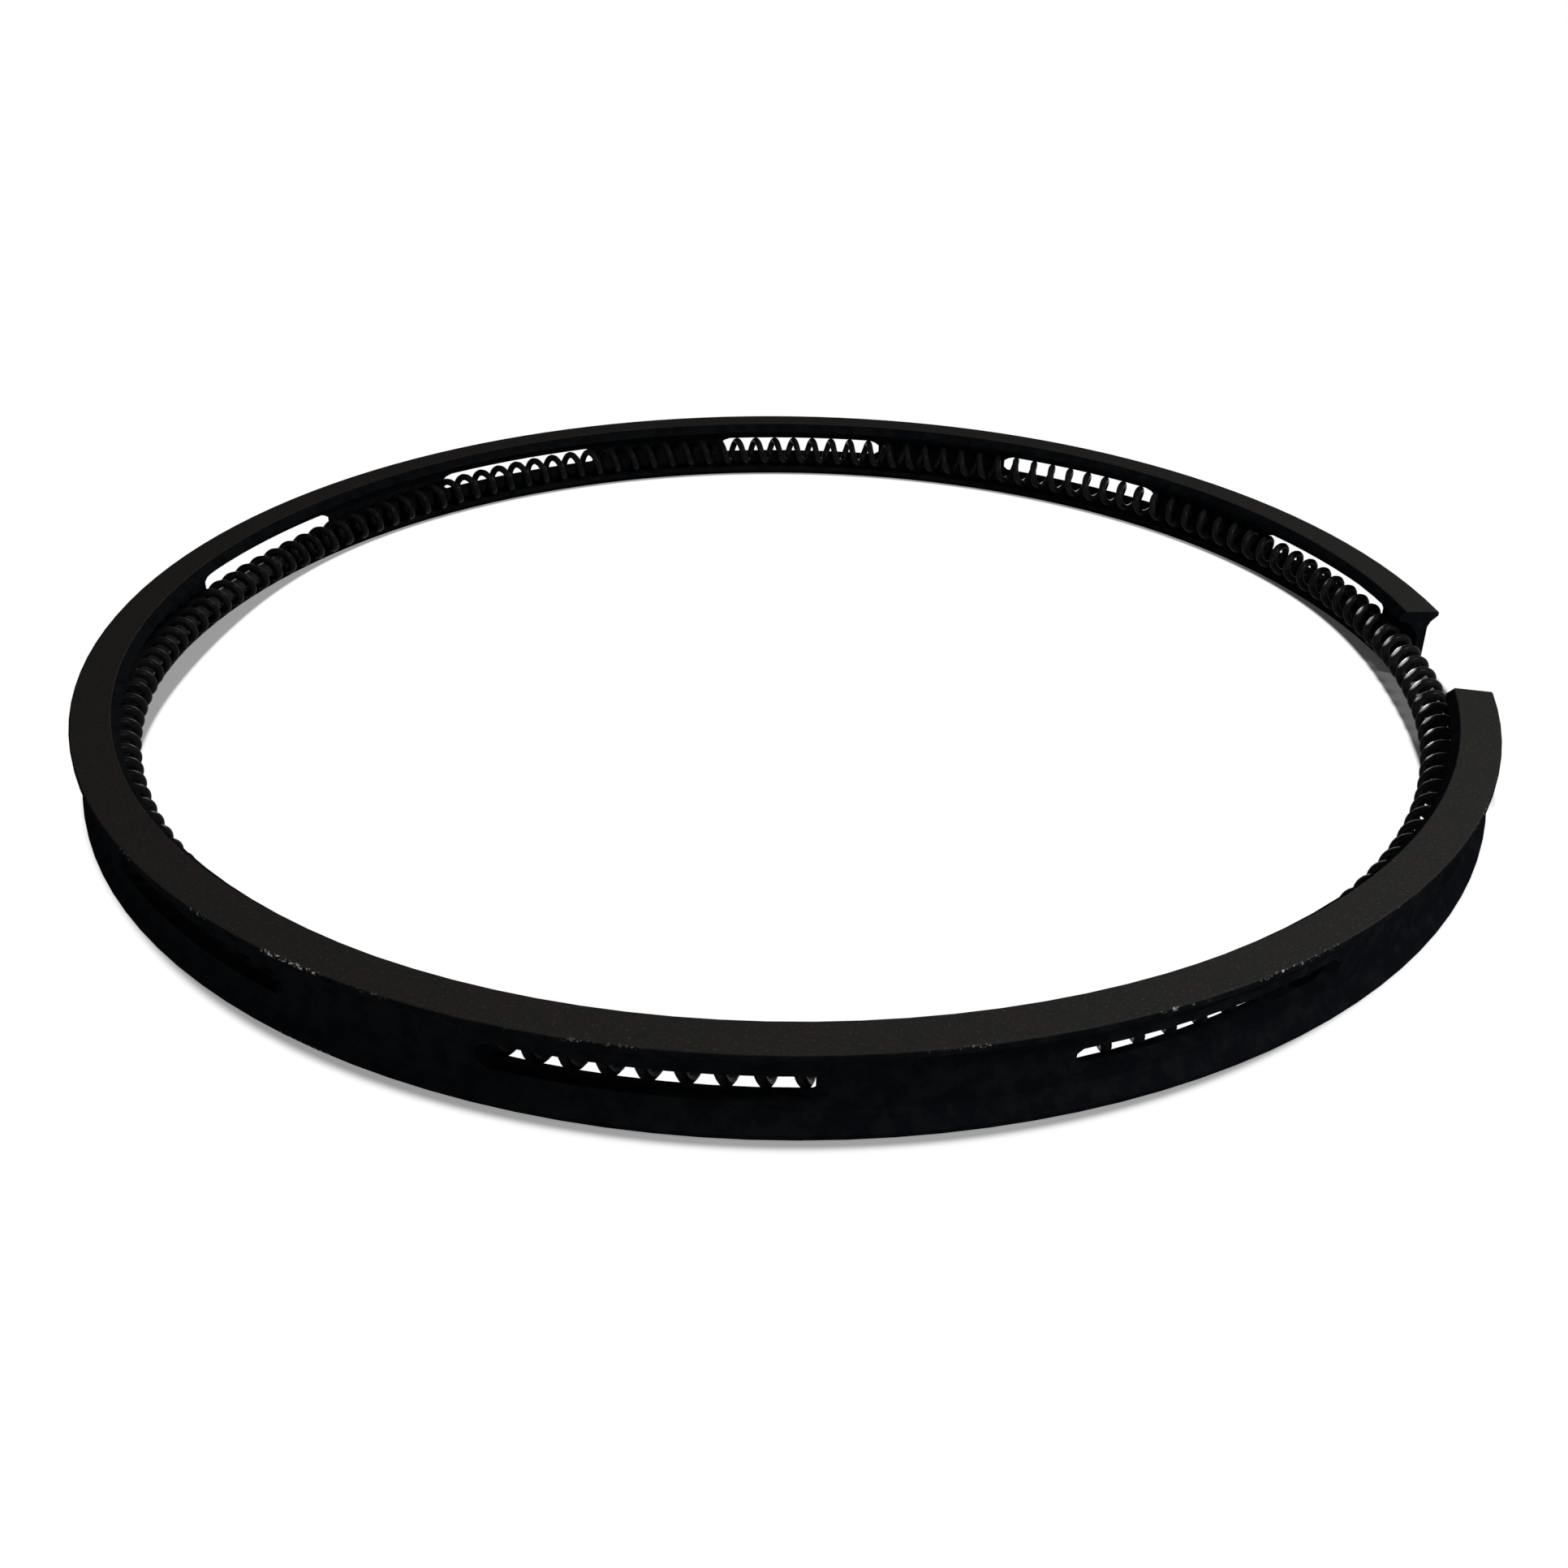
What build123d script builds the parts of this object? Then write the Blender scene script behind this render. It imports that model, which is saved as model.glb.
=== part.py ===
from build123d import *

import math
import os

# Slotted oil scraper ring for an engine piston, in its free, open state: a cast-iron ring with two
# scraping lands, a coil spring in the groove round its inside, and the latch pin that holds the
# spring's two ends together opposite the gap.
# Origin: on the ring's axis, at its lower side face. +Z is the axis and +X points through the gap.

# Ring body, mm
free_radius = 47.0  # outside, with the gap open; closed, the ring fills a 90 mm bore
ring_height = 5.0
radial_wall = 2.8
free_gap_angle = 15.7  # degrees between the two ends
land_height = 0.35
land_edge_chamfer = 0.1
drain_depth = 0.65  # depth of the groove between the two lands
drain_flank_angle = 45.0  # degrees from the axis
drain_corner_chamfer = 0.25  # stands for the rounding at the foot of each flank
inner_chamfer = 0.45

# Groove for the spring, round the inside
seat_play = 0.45  # all round a spring in the middle of its groove
seat_sides = 10  # the round groove is drawn with flats, of a polygon round its circle
web_thickness = 0.6  # left between the two grooves

# Oil slots through the web
slot_count = 10
slot_height = 1.5
slot_half_angle = 9.6  # degrees, at the web's inner face
slot_pitch_angle = 34.75  # degrees
first_slot_angle = 24.4  # degrees from the middle of the gap
cutter_radius = 14.0
rim_chamfer_share = 0.6  # of half the cutter's width, off each edge of its rim

# Coil spring, which is loose in its groove while the ring is free
coil_diameter = 2.5
wire_diameter = 0.52
coil_pitch = 1.8  # rounded to a whole number of turns
coil_seat_clearance = 0.05  # from the bottom of the groove
slump_angle = 161.6  # degrees from the middle of the gap, where the spring has slumped
slump_inward = 0.6
slump_down = 0.5
slump_falloff = 40  # larger where fewer turns take part
gap_draw = 0.6  # inward, where the spring crosses the gap
gap_draw_falloff = 16
coil_end_clearance = 0.1  # between the two butted ends
joint_angle = 178.8  # degrees; the spring's two ends meet opposite the gap
segments_per_turn = 7

# Latch pin inside the spring's joint
pin_length = 22.0
pin_clearance = 0.12
pin_sides = 8
pin_segments = 10

mid_height = ring_height / 2
inside_radius = free_radius - radial_wall
drain_floor_radius = free_radius - drain_depth
seat_bottom_radius = drain_floor_radius - web_thickness
seat_radius = coil_diameter / 2 + seat_play
seat_centre_radius = seat_bottom_radius - seat_radius
coil_centre_radius = seat_bottom_radius - coil_seat_clearance - coil_diameter / 2
coil_turns = round(2 * math.pi * coil_centre_radius / coil_pitch)


def ring_section():
    """Half-plane section of the ring body, drawn in the XZ plane."""
    flank_height = drain_depth / math.tan(math.radians(drain_flank_angle))
    flank_bottom = land_height + flank_height
    outline = Polyline(
        (inside_radius, 0),
        (free_radius, 0),
        (free_radius, land_height),
        (drain_floor_radius, flank_bottom),
        (drain_floor_radius, ring_height - flank_bottom),
        (free_radius, ring_height - land_height),
        (free_radius, ring_height),
        (inside_radius, ring_height),
        close=True,
    )
    section = make_face(outline)
    floor_corners = section.vertices().group_by(Axis.X)[1]
    section = chamfer(floor_corners, drain_corner_chamfer)
    section = chamfer(side_face_corners(section, 0), inner_chamfer)
    section = chamfer(side_face_corners(section, -1), land_edge_chamfer)
    seat = RegularPolygon(seat_radius, seat_sides, major_radius=False, rotation=180 / seat_sides)
    return Plane.XZ * (section - Pos(seat_centre_radius, mid_height) * seat)


def side_face_corners(section, end):
    """The section's innermost (0) or outermost (-1) corner on each side face."""
    rows = section.vertices().group_by(Axis.Y)
    return [row.sort_by(Axis.X)[end] for row in (rows[0], rows[-1])]


def slot_cutter():
    """Disc with a chamfered rim, placed so that it breaks through the web over one slot."""
    disc = Cylinder(cutter_radius, slot_height)
    rim = disc.edges().filter_by(GeomType.CIRCLE)
    disc = chamfer(rim, rim_chamfer_share * slot_height / 2)
    reach = math.radians(slot_half_angle)
    half_chord = seat_bottom_radius * math.sin(reach)
    distance = seat_bottom_radius * math.cos(reach) + math.sqrt(cutter_radius**2 - half_chord**2)
    return Pos(distance, 0, mid_height) * disc


def ring_body():
    """The ring: its section turned round the axis from one end of the gap to the other."""
    turned = revolve(ring_section(), Axis.Z, 360 - free_gap_angle)
    body = Rot(0, 0, free_gap_angle / 2) * turned
    cutter = slot_cutter()
    angles = [first_slot_angle + slot_pitch_angle * i for i in range(slot_count)]
    return body - [Rot(0, 0, angle) * cutter for angle in angles]


def coil_place(axis_angle):
    """Radius and height of the coil's own axis, at an angle round the ring in radians."""
    slump = math.cos((axis_angle - math.radians(slump_angle)) / 2) ** slump_falloff
    drawn = math.cos(axis_angle / 2) ** gap_draw_falloff
    radius = coil_centre_radius - slump_inward * slump - gap_draw * drawn
    return radius, mid_height - slump_down * slump


def beside_coil_axis(axis_angle, distance, turn_angle, along=0):
    """Point at a distance from the coil's own axis.

    turn_angle goes round the coil's own section and axis_angle round the ring, both in radians.
    """
    radius, height = coil_place(axis_angle)
    reach = radius + distance * math.cos(turn_angle)
    sine, cosine = math.sin(axis_angle), math.cos(axis_angle)
    height += distance * math.sin(turn_angle)
    return Vector(reach * cosine - along * sine, reach * sine + along * cosine, height)


def faceted_solid(rings):
    """Closed solid through a row of polygons with the same number of corners."""
    faces = [Face(Wire.make_polygon(rings[0])), Face(Wire.make_polygon(rings[-1]))]
    corners = len(rings[0])
    for near, far in zip(rings, rings[1:]):
        for a in range(corners):
            b = (a + 1) % corners
            faces.append(Face(Wire.make_polygon([near[a], near[b], far[b]])))
            faces.append(Face(Wire.make_polygon([near[a], far[b], far[a]])))
    return Solid(Shell(faces))


def coil_section(turn_angle, axis_angle, side):
    """Corners of the wire's square section at one place of the coil."""
    mean_radius = (coil_diameter - wire_diameter) / 2
    return [
        beside_coil_axis(axis_angle, mean_radius + side * u / 2, turn_angle, side * v / 2)
        for u, v in ((1, 1), (1, -1), (-1, -1), (-1, 1))
    ]


def coil_spring():
    """Right-hand coil bent into a ring, as one closed solid of flat facets.

    The round wire is drawn square, with the same section area, and each turn has a few straight
    segments, so that all the turns together stay light.
    """
    side = wire_diameter * math.sqrt(math.pi) / 2
    end_angle = coil_end_clearance / coil_centre_radius
    span = 2 * math.pi - end_angle
    start = math.radians(joint_angle) - end_angle / 2
    steps = coil_turns * segments_per_turn
    rings = [
        coil_section(2 * math.pi * i / segments_per_turn, start - span * i / steps, side)
        for i in range(steps + 1)
    ]
    return faceted_solid(rings)


def latch_pin():
    """Short wire inside the spring, across its joint, bent the way the spring lies there."""
    pin_radius = coil_diameter / 2 - wire_diameter - pin_clearance
    pin_angle = pin_length / coil_centre_radius
    start = math.radians(joint_angle) - pin_angle / 2
    corner_angles = [2 * math.pi * k / pin_sides for k in range(pin_sides)]
    rings = []
    for i in range(pin_segments + 1):
        axis_angle = start + pin_angle * i / pin_segments
        rings.append([beside_coil_axis(axis_angle, pin_radius, angle) for angle in corner_angles])
    return faceted_solid(rings)


os.makedirs("parts", exist_ok=True)
export_step(ring_body(), "parts/ring_body.step")
export_step(coil_spring(), "parts/coil_spring.step")
export_step(latch_pin(), "parts/latch_pin.step")
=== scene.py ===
import math

import bpy
import numpy as np
from mathutils import Matrix, Vector


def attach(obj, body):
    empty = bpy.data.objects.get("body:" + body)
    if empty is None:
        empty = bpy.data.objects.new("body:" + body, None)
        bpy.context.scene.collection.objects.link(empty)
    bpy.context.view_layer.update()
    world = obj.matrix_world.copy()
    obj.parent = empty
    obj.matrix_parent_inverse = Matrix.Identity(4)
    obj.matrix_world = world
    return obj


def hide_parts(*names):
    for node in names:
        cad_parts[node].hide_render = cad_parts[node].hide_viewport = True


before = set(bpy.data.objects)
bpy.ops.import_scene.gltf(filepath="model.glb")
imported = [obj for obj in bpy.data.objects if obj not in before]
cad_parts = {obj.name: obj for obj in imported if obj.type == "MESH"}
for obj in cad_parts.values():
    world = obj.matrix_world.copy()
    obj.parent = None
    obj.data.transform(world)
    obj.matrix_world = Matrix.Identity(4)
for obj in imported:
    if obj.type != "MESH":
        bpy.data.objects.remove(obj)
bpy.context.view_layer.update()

# Ring body: cast iron with a black phosphate coat. Its side faces are lapped afterwards, so they
# are a little greyer. The walls' near-black is partly painted shade, as light from above leaves
# them in shade. Its outer edges are rubbed bright in spots where rings knock together in the box.
# The solid is the CAD one; this section gives it its finish.
RING_HEIGHT = 0.005
RING_MIDDLE = RING_HEIGHT / 2
FREE_RADIUS = 0.0470

# The coat. A grain is the noise's scale, in lumps to the metre, its detail and its roughness, and a
# pair of shares is where between 0 and 1 a patch begins and is full.
# Painted shade in part: both coat tones are darker than a black coat's own, as for walls in shade.
COAT_AND_SHADE_BLACK = (0.0018, 0.0022, 0.0029)
COAT_AND_SHADE_GREY = (0.0032, 0.0036, 0.0042)
COAT_ROUGHNESS = 0.62
MOTTLE_GRAIN = (900.0, 3.0, 0.6)
MOTTLE_SHARES = (0.38, 0.62)
MOTTLE_TO_LEFT = 1.6  # more of the second tone for each metre to the left
MOTTLE_ROUGHER = 0.08
GRIT_GRAIN = (5200.0, 3.0, 0.6)
GRIT_STRENGTH = 0.35
GRIT_DEPTH = 0.00002

# The lapped side faces, with pale specks.
LAPPED_GREEN = (0.0125, 0.0132, 0.0120)
LAPPED_BROWN = (0.0150, 0.0125, 0.0120)
LAPPED_FROM_FACE = (0.00008, 0.00002)  # distances at which the lapping begins and is full
LAPPED_SMOOTHER = 0.12
SPECK_PALE = (0.045, 0.043, 0.038)
SPECK_GRAIN = (5600.0, 3.0, 0.6)
SPECK_SHARES = (0.55, 0.70)
SPECK_STRENGTH = 0.35

# The worn spots on the outer edges, and the one hard knock among them.
RUBBED_IRON = (0.26, 0.25, 0.23)
EDGE_FROM_OUTSIDE = (0.00016, 0.00006)  # distances at which the edge begins and is full
EDGE_FROM_FACE = (0.00022, 0.00008)
WORN_GRAIN = (260.0, 3.0, 0.6)
WORN_SHARES = (0.57, 0.65)
WORN_GRIT_SHARES = (0.56, 0.66)
WORN_STRENGTH = 0.28
WORN_METAL = 0.4
WORN_SMOOTHER = 0.15
KNOCK = (-0.0196, -0.0427)  # its X and Y
KNOCK_REACH = (0.0026, 0.0014)  # distances at which the knock begins and is full
KNOCK_MORE_WORN = 0.25
KNOCK_MORE_GRIT = 0.05
KNOCK_STRENGTH = 0.70


class Shade:
    """One output of a node tree, for use in Python arithmetic: an operator adds a Math node."""

    def __init__(self, tree, socket=None):
        self.tree = tree
        self.socket = socket

    def node(self, kind, settings=None, inputs=None, output=0):
        """Adds a node of a type, with its settings and then its sockets' values or links.

        Returns one output, a list of them where output is a tuple, or nothing where it is None.
        """
        made = self.tree.nodes.new(kind)
        for name, value in (settings or {}).items():
            setattr(made, name, value)
        for name, value in (inputs or {}).items():
            if isinstance(value, Shade):
                self.tree.links.new(value.socket, made.inputs[name])
            else:
                made.inputs[name].default_value = value
        if output is None:
            return None
        if isinstance(output, tuple):
            return [Shade(self.tree, made.outputs[name]) for name in output]
        return Shade(self.tree, made.outputs[output])

    def maths(self, operation, first, second=0.0):
        return self.node("ShaderNodeMath", {"operation": operation}, {0: first, 1: second})

    def __add__(self, other):
        return self.maths("ADD", self, other)

    __radd__ = __add__

    def __sub__(self, other):
        return self.maths("SUBTRACT", self, other)

    def __rsub__(self, other):
        return self.maths("SUBTRACT", other, self)

    def __mul__(self, other):
        return self.maths("MULTIPLY", self, other)

    __rmul__ = __mul__

    def __truediv__(self, other):
        return self.maths("DIVIDE", self, other)

    def __pow__(self, other):
        return self.maths("POWER", self, other)

    def __abs__(self):
        return self.maths("ABSOLUTE", self)

    def rise(self, low, high):
        """0 below low, 1 above high and a smooth step between; falls where low is above high."""
        if low > high:
            return 1.0 - self.rise(high, low)
        return self.node(
            "ShaderNodeMapRange",
            {"interpolation_type": "SMOOTHSTEP"},
            {"Value": self, "From Min": low, "From Max": high},
        )

    def mix(self, first, second):
        """The colour first where this is 0 and second where it is 1.

        A Mix node takes colours in its sockets 6 and 7 and gives their mixture as its output 2.
        """
        first, second = [c if isinstance(c, Shade) else (*c, 1.0) for c in (first, second)]
        sockets = {"Factor": self, 6: first, 7: second}
        return self.node("ShaderNodeMix", {"data_type": "RGBA"}, sockets, output=2)


def emptied(owner):
    """Empties the node tree of a material or a world, and starts its expressions."""
    owner.use_nodes = True
    owner.node_tree.nodes.clear()
    return Shade(owner.node_tree)


def place_on_ring(start):
    """Object coordinates, as a vector and as X, Y and Z, and the distance from the ring's axis."""
    place = start.node("ShaderNodeTexCoord", output="Object")
    x, y, z = start.node("ShaderNodeSeparateXYZ", inputs={0: place}, output=("X", "Y", "Z"))
    return place, x, y, z, (x * x + y * y) ** 0.5


def grain(start, place, kind):
    """Noise from 0 to 1 at a place."""
    scale, detail, roughness = kind
    sockets = {"Vector": place, "Scale": scale, "Detail": detail, "Roughness": roughness}
    return start.node("ShaderNodeTexNoise", inputs=sockets, output="Fac")


def bumpy(start, height, strength, depth, sockets):
    """Ends the tree with a Principled shader of those sockets, over a bump of that height."""
    bump_sockets = {"Height": height, "Strength": strength, "Distance": depth}
    bump = start.node("ShaderNodeBump", inputs=bump_sockets)
    shader = start.node("ShaderNodeBsdfPrincipled", inputs={**sockets, "Normal": bump})
    start.node("ShaderNodeOutputMaterial", inputs={"Surface": shader}, output=None)


def coated_iron():
    """Black coat, partly painted shade, greyer where the height says side face, and bright in spots
    on the outer edges.

    A spot is where two noises, one coarse and one fine, are both high, and near the knock they are
    raised.
    """
    material = bpy.data.materials.new("coated cast iron")
    start = emptied(material)
    place, x, y, z, radius = place_on_ring(start)
    from_middle = abs(z - RING_MIDDLE)
    grit = grain(start, place, GRIT_GRAIN)
    mottle = (grain(start, place, MOTTLE_GRAIN) - MOTTLE_TO_LEFT * x).rise(*MOTTLE_SHARES)
    # Partly painted shade: the near-black tone of every face but the side faces.
    coat_and_shade = mottle.mix(COAT_AND_SHADE_BLACK, COAT_AND_SHADE_GREY)

    speck = grain(start, place, SPECK_GRAIN).rise(*SPECK_SHARES)
    side_face = mottle.mix(LAPPED_GREEN, LAPPED_BROWN)
    side_face = (speck * SPECK_STRENGTH).mix(side_face, SPECK_PALE)
    lapped = from_middle.rise(*[RING_MIDDLE - inset for inset in LAPPED_FROM_FACE])
    colour = lapped.mix(coat_and_shade, side_face)

    edge = radius.rise(*[FREE_RADIUS - inset for inset in EDGE_FROM_OUTSIDE])
    edge = edge * from_middle.rise(*[RING_MIDDLE - inset for inset in EDGE_FROM_FACE])
    from_knock = ((x - KNOCK[0]) ** 2.0 + (y - KNOCK[1]) ** 2.0) ** 0.5
    knock = from_knock.rise(*KNOCK_REACH)
    patch = grain(start, place, WORN_GRAIN) + KNOCK_MORE_WORN * knock
    worn = edge * patch.rise(*WORN_SHARES)
    worn = worn * (grit + KNOCK_MORE_GRIT * knock).rise(*WORN_GRIT_SHARES)
    colour = (worn * (WORN_STRENGTH + KNOCK_STRENGTH * knock)).mix(colour, RUBBED_IRON)

    smoother = COAT_ROUGHNESS - LAPPED_SMOOTHER * lapped - WORN_SMOOTHER * worn
    sockets = {
        "Base Color": colour,
        "Roughness": smoother + MOTTLE_ROUGHER * mottle,
        "Specular IOR Level": 0.0,
        "Metallic": WORN_METAL * worn,
    }
    bumpy(start, grit, GRIT_STRENGTH, GRIT_DEPTH, sockets)
    return material


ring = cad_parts["ring_body"]
ring.data.materials[0] = coated_iron()

# Coil spring: round steel wire wound into a right-hand coil, bent into a full ring and butted end
# to end. In the free ring it is loose: it cuts the corner at the gap and has slumped on the far
# side. The wire is dark from heat treatment. The turns seen in the gap carry painted highlights
# on their upper inner crests.
COIL_RADIUS = 0.04445
COIL_DIAMETER = 0.0025
WIRE_DIAMETER = 0.00058
COIL_TURNS = 155
SLUMP_ANGLE = math.radians(161.6)  # angles round the ring start in the middle of the gap
SLUMP_INWARD = 0.0006
SLUMP_DOWN = 0.0005
SLUMP_FALLOFF = 40
GAP_DRAW = 0.0006
GAP_DRAW_FALLOFF = 16
BACK_ANGLE = math.radians(105.0)
BACK_SAG = 0.00017
BACK_FALLOFF = 12
JOINT_ANGLE = math.radians(178.8)
JOINT_GAP = 0.0001
STEPS_PER_TURN = 32
WIRE_SIDES = 10

SPRING_BLACK = (0.0035, 0.0035, 0.0038)
BLOTCH_LIGHTER = 1.5
BLOTCH_GRAIN = (700.0, 3.0, 0.5)
BLOTCH_SHARES = (0.35, 0.65)
SCRATCH_GRAIN = (6000.0, 2.0, 0.5)
SCRATCH_STRENGTH = 0.25
SCRATCH_DEPTH = 0.00001
WIRE_GLOSS = 0.012
WIRE_ROUGHNESS = 0.20
BLOTCH_ROUGHER = 0.12
# Painted highlight: light grey and metallic, on the upper inner crests of the turns in the gap.
PAINTED_GLINT_STEEL = (0.50, 0.50, 0.48)
CREST_REACH = (0.00110, 0.00123)  # distances from the coil's own axis; its outside is at 0.00125
CREST_SHARES = (0.30, 0.50)


def in_scene(name, data):
    """A new object of that mesh, lamp or camera, in the scene."""
    made = bpy.data.objects.new(name, data)
    bpy.context.scene.collection.objects.link(made)
    return made


def coil_spring():
    """Circle of the wire's section carried along a helix whose own axis is a circle.

    With s from 0 to 1 along the wire, the turning angle is 2 pi times turns times s and the angle
    round the ring falls with s. The coil's axis is a circle in mid-height, less a high power of the
    half-angle's cosine at the gap (inward), at the slump (inward and down) and at the back (down).
    The wire's centre stands off it by the mean radius, outward at the start; the section's two
    axes are that direction, squared to the wire's run, and their cross product.
    """
    gap = JOINT_GAP / COIL_RADIUS
    s = np.linspace(0.0, 1.0, COIL_TURNS * STEPS_PER_TURN + 1)
    turning = 2 * np.pi * COIL_TURNS * s
    round_ring = JOINT_ANGLE + 2 * np.pi - gap / 2 - (2 * np.pi - gap) * s
    radial = np.stack([np.cos(round_ring), np.sin(round_ring), np.zeros_like(s)], 1)
    upward = np.array([[0.0, 0.0, 1.0]])
    outward = radial * np.cos(turning)[:, None] + upward * np.sin(turning)[:, None]

    slump = np.cos((round_ring - SLUMP_ANGLE) / 2) ** SLUMP_FALLOFF
    drawn = np.cos(round_ring / 2) ** GAP_DRAW_FALLOFF
    sag = np.cos((round_ring - BACK_ANGLE) / 2) ** BACK_FALLOFF
    radius = COIL_RADIUS - SLUMP_INWARD * slump - GAP_DRAW * drawn
    height = RING_MIDDLE - SLUMP_DOWN * slump - BACK_SAG * sag
    mean_radius = (COIL_DIAMETER - WIRE_DIAMETER) / 2
    centre = radial * radius[:, None] + upward * height[:, None] + outward * mean_radius

    run = np.gradient(centre, axis=0)
    run /= np.linalg.norm(run, axis=1, keepdims=True)
    first = outward - run * (outward * run).sum(1, keepdims=True)
    first /= np.linalg.norm(first, axis=1, keepdims=True)
    second = np.cross(run, first)
    around = 2 * np.pi * np.arange(WIRE_SIDES) / WIRE_SIDES
    section = (
        first[:, None, :] * np.cos(around)[None, :, None]
        + second[:, None, :] * np.sin(around)[None, :, None]
    )
    points = centre[:, None, :] + section * WIRE_DIAMETER / 2

    rows, columns = np.meshgrid(np.arange(len(s) - 1), np.arange(WIRE_SIDES), indexing="ij")
    after = (columns + 1) % WIRE_SIDES
    corners = [rows * WIRE_SIDES + columns, rows * WIRE_SIDES + after]
    corners += [(rows + 1) * WIRE_SIDES + after, (rows + 1) * WIRE_SIDES + columns]
    faces = np.stack(corners, 2).reshape(-1, 4).tolist()
    last = (len(s) - 1) * WIRE_SIDES
    ends = [list(range(WIRE_SIDES))[::-1], [last + i for i in range(WIRE_SIDES)]]
    smooth = [True] * len(faces) + [False] * len(ends)
    mesh = bpy.data.meshes.new("coil_spring_wire")
    mesh.from_pydata(points.reshape(-1, 3).tolist(), [], faces + ends)
    mesh.polygons.foreach_set("use_smooth", smooth)
    return in_scene("coil_spring_wire", mesh)


def drawn_steel(name, tone):
    """Dark drawn wire: soft mottling in its tone and roughness, with fine scratches in the bump.

    Where the spring is drawn inward across the gap, the upper inner crests of its turns carry a
    painted highlight, light grey and metallic. Their distance from the coil's own axis along that
    slope picks them out, and neither the rest of the spring nor the pin reaches that far.
    """
    material = bpy.data.materials.new(name)
    start = emptied(material)
    place, x, y, z, radius = place_on_ring(start)
    blotch = grain(start, place, BLOTCH_GRAIN)
    lighter = tuple(BLOTCH_LIGHTER * c for c in tone)
    colour = blotch.rise(*BLOTCH_SHARES).mix(tone, lighter)
    inward = COIL_RADIUS - GAP_DRAW - radius
    slope = (z - RING_MIDDLE + inward) * math.sqrt(0.5)
    # Painted highlight on the upper inner crests where the spring crosses the gap.
    painted_glint = slope.rise(*CREST_REACH) * blotch.rise(*CREST_SHARES)
    sockets = {
        "Base Color": painted_glint.mix(colour, PAINTED_GLINT_STEEL),
        "Metallic": painted_glint,
        "Specular IOR Level": WIRE_GLOSS,
        "Roughness": WIRE_ROUGHNESS + BLOTCH_ROUGHER * blotch,
    }
    scratches = grain(start, place, SCRATCH_GRAIN)
    bumpy(start, scratches, SCRATCH_STRENGTH, SCRATCH_DEPTH, sockets)
    return material


spring = coil_spring()
spring.data.materials.append(drawn_steel("dark spring steel", SPRING_BLACK))
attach(spring, "root")
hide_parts("coil_spring")

# Latch pin: a short piece of drawn wire inside the coil that keeps its two butted ends in line. It
# is the CAD solid, and hardly shows between the turns.
PIN_GREY = (0.010, 0.010, 0.010)

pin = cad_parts["latch_pin"]
pin.data.materials[0] = drawn_steel("drawn wire", PIN_GREY)

# Floor: a plain pale surface that the ring lies on. A narrow strip of it under the ring and close
# beside it is given a dark tone as painted shade. Only there does the ring's shadow show to
# the camera.
FLOOR_SIZE = 6.0
FLOOR_HEIGHT = -0.00001
WHITE = (1.0, 1.0, 1.0, 1.0)
FLOOR_PALE = (0.85, 0.85, 0.85)
# Painted shade: the dark tone of the strip under and close beside the ring.
FLOOR_PAINTED_SHADE = (0.07, 0.07, 0.07)
STRIP_INSIDE = 0.0443  # radii of the strip's two edges
STRIP_OUTSIDE = 0.0469
INSIDE_FADE = (-0.0003, 0.0001)
OUTSIDE_FADE = (0.0004, -0.0003)
WIDER_AT_SIDES = 0.0013
SIDES_FALLOFF = 8.0
WIDER_IN_FRONT = 0.0006
FRONT_SHARES = (0.65, 0.98)  # how squarely in front: 0 at the sides, 1 straight in front
WIDER_AT_GAP = 0.0006
GAP_REACH = (0.0450, 0.0462)  # to the right of the middle
SHADOW_SHOWN = 0.70
SHADOW_MORE = 0.26
RIGHT_REACH = (0.030, 0.040)  # to the right of the middle


def background_ray(start):
    """1 for a ray of the camera, or off gloss or through glass, and 0 for one that lights."""
    rays = ("Is Camera Ray", "Is Glossy Ray", "Is Transmission Ray")
    camera_ray, gloss_ray, glass_ray = start.node("ShaderNodeLightPath", output=rays)
    return start.maths("MAXIMUM", start.maths("MAXIMUM", camera_ray, gloss_ray), glass_ray)


def pale_floor():
    """White to background rays, except for a share of the strip, where its dark painted shade
    shows.

    The strip is wider inside the ring at the left and right, and outside it in front and at the
    gap. The share is larger towards the gap.
    """
    material = bpy.data.materials.new("pale floor")
    start = emptied(material)
    _, x, y, _, radius = place_on_ring(start)
    sideways = (x / radius) ** 2.0
    inner_edge = STRIP_INSIDE - WIDER_AT_SIDES * sideways**SIDES_FALLOFF
    outer_edge = STRIP_OUTSIDE + WIDER_IN_FRONT * (-1.0 * y / radius).rise(*FRONT_SHARES)
    outer_edge = outer_edge + WIDER_AT_GAP * x.rise(*GAP_REACH)
    strip = (radius - inner_edge).rise(*INSIDE_FADE) * (radius - outer_edge).rise(*OUTSIDE_FADE)
    shown = strip * (SHADOW_SHOWN + SHADOW_MORE * x.rise(*RIGHT_REACH))
    # Painted shade: the strip gets a dark tone. The lamps' real shadow of the ring falls on it too.
    tone = strip.mix(FLOOR_PALE, FLOOR_PAINTED_SHADE)
    lit = start.node("ShaderNodeBsdfDiffuse", inputs={"Color": tone})
    glow = start.node("ShaderNodeEmission", inputs={"Color": WHITE, "Strength": 1.0})
    white_share = background_ray(start) * (1.0 - shown)
    both = start.node("ShaderNodeMixShader", inputs={0: white_share, 1: lit, 2: glow})
    start.node("ShaderNodeOutputMaterial", inputs={"Surface": both}, output=None)
    return material


half = FLOOR_SIZE / 2
floor_corners = [(-half, -half), (half, -half), (half, half), (-half, half)]
floor_mesh = bpy.data.meshes.new("floor")
floor_mesh.from_pydata([(*corner, FLOOR_HEIGHT) for corner in floor_corners], [], [(0, 1, 2, 3)])
floor_mesh.materials.append(pale_floor())
floor = in_scene("floor", floor_mesh)

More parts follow.
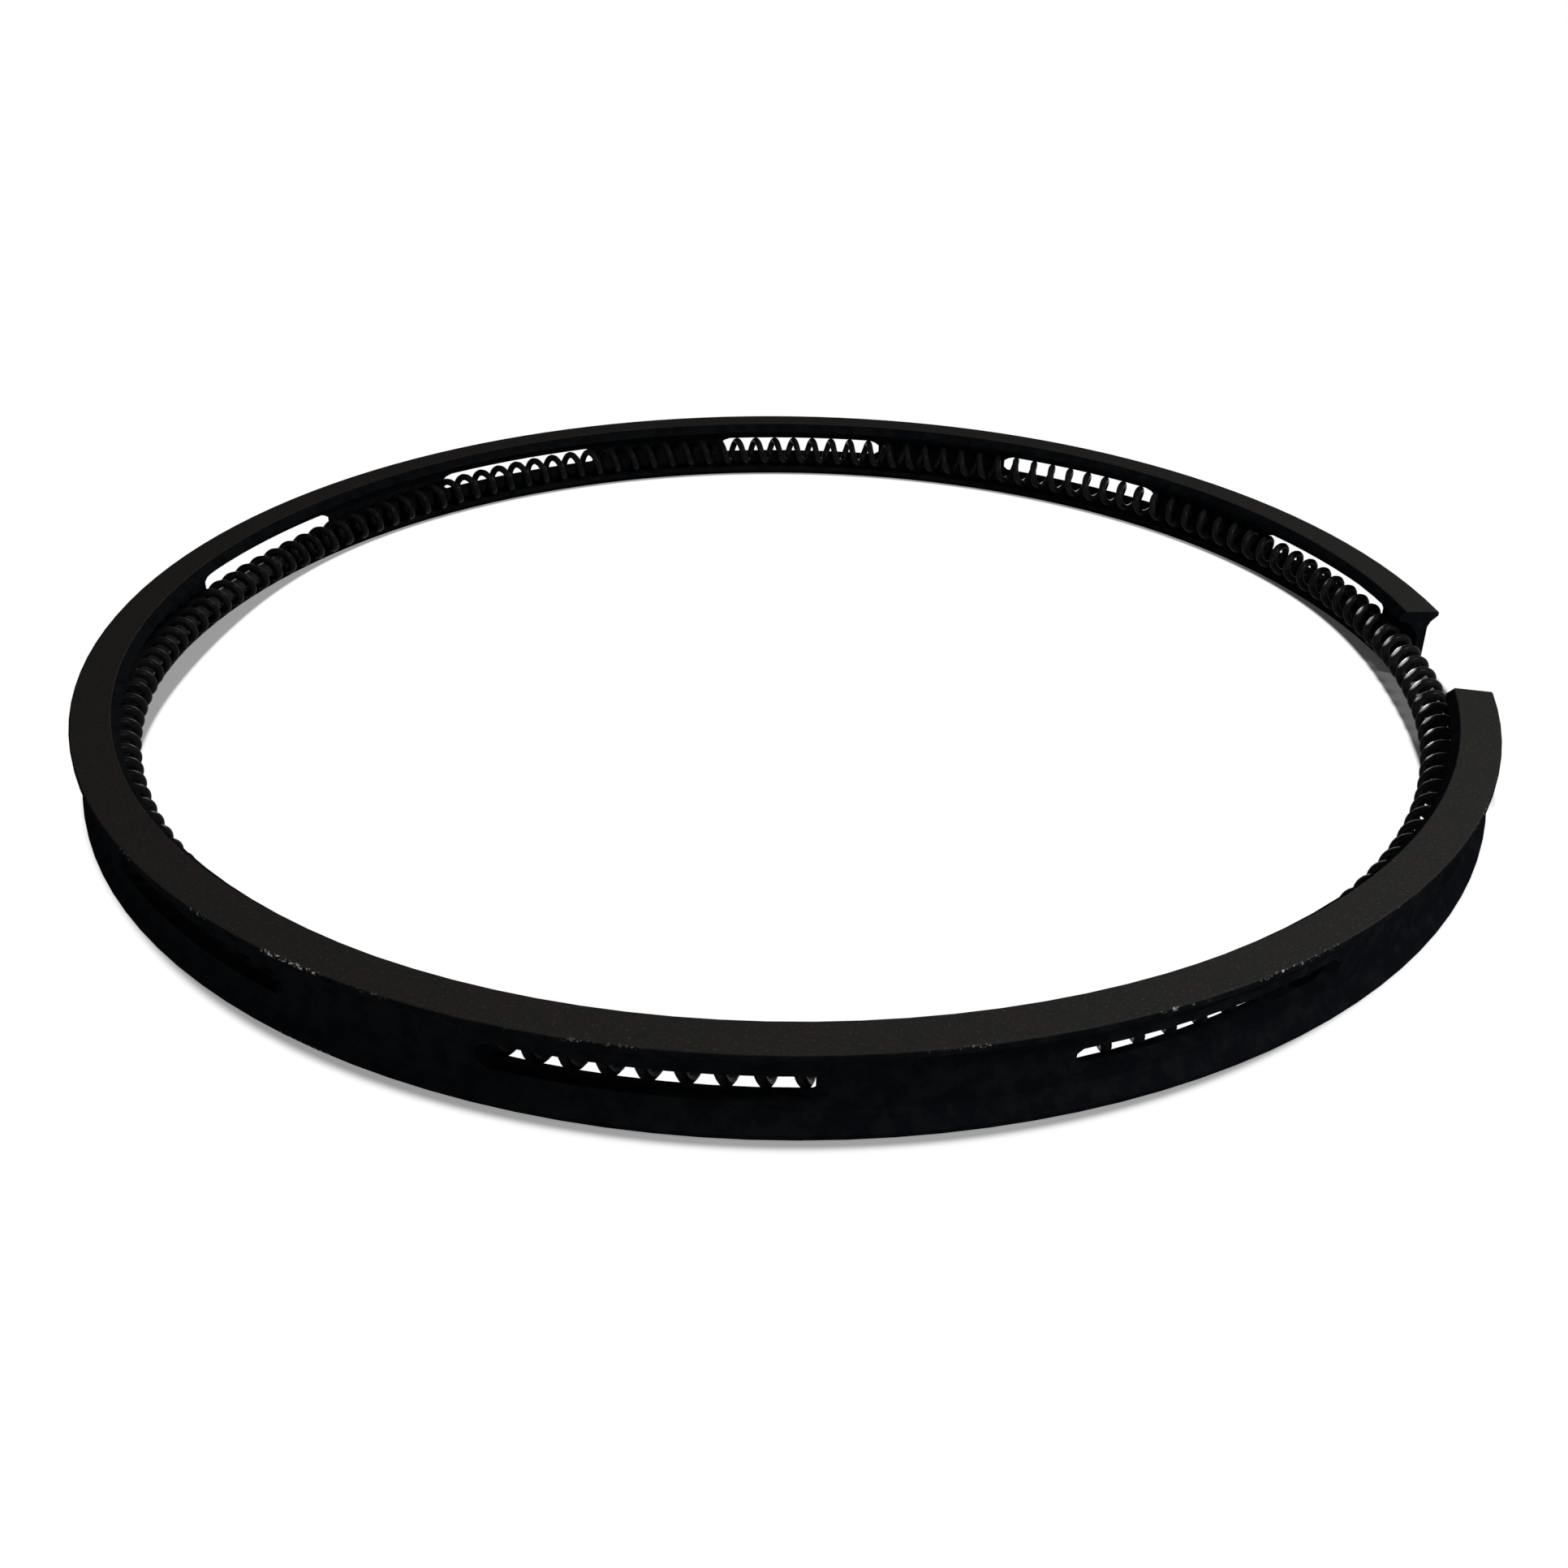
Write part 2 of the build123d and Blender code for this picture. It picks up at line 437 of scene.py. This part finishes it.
# Room and soft boxes: a dim, even room light, and four square soft boxes turned towards the middle
# of the ring. The camera and reflections see the room white.
ROOM_LIGHT = 0.15
SOFT_BOXES = {  # place, width and watts of each
    "key": ((0.126, -0.059, 0.10), 0.04, 0.34),
    "back": ((-0.03, 0.12, 0.25), 0.03, 0.03),
    "side": ((-0.24, -0.30, 0.02), 0.12, 0.8),
    "rear": ((0.03, 0.36, 0.05), 0.20, 1.3),
}

world = bpy.data.worlds.new("room")
start = emptied(world)
strength = ROOM_LIGHT + (1.0 - ROOM_LIGHT) * background_ray(start)
room = start.node("ShaderNodeBackground", inputs={"Color": WHITE, "Strength": strength})
start.node("ShaderNodeOutputWorld", inputs={"Surface": room}, output=None)
bpy.context.scene.world = world

for name, (place, width, watts) in SOFT_BOXES.items():
    light = bpy.data.lights.new(name, "AREA")
    light.shape = "SQUARE"
    light.size = width
    light.energy = watts
    lamp = in_scene(name, light)
    lamp.location = place
    lamp.rotation_mode = "QUATERNION"
    lamp.rotation_quaternion = (-Vector(place)).to_track_quat("-Z", "Y")

# Camera: where the photograph was taken from, close to the ring, with the gap at the right. It
# looks at the origin, which is seen at AIM_PIXEL. Pixels are those of the 1932-pixel picture.
EYE_DISTANCE = 2.42 * FREE_RADIUS
EYE_AZIMUTH = math.radians(-90.0 + 5.25)
EYE_ELEVATION = math.radians(26.682)
EYE_ROLL = math.radians(0.708)
FOCAL_PIXELS = 1942.3
PICTURE = 1932
AIM_PIXEL = (968.3, 836.0)
SENSOR_WIDTH = 36.0  # mm, as the lens

to_eye = Vector(
    (
        math.cos(EYE_AZIMUTH) * math.cos(EYE_ELEVATION),
        math.sin(EYE_AZIMUTH) * math.cos(EYE_ELEVATION),
        math.sin(EYE_ELEVATION),
    )
)
camera_data = bpy.data.cameras.new("camera")
camera_data.sensor_width = SENSOR_WIDTH
camera_data.lens = SENSOR_WIDTH * FOCAL_PIXELS / PICTURE
camera_data.shift_x = (PICTURE / 2 - AIM_PIXEL[0]) / PICTURE
camera_data.shift_y = (AIM_PIXEL[1] - PICTURE / 2) / PICTURE
camera_data.clip_start = 0.005
camera_data.clip_end = 20.0
camera = in_scene("camera", camera_data)
turn = (-to_eye).to_track_quat("-Z", "Y").to_matrix().to_4x4()
roll = Matrix.Rotation(EYE_ROLL, 4, "Z")
camera.matrix_world = Matrix.Translation(to_eye * EYE_DISTANCE) @ turn @ roll
bpy.context.scene.camera = camera
bpy.context.scene.view_settings.view_transform = "Standard"
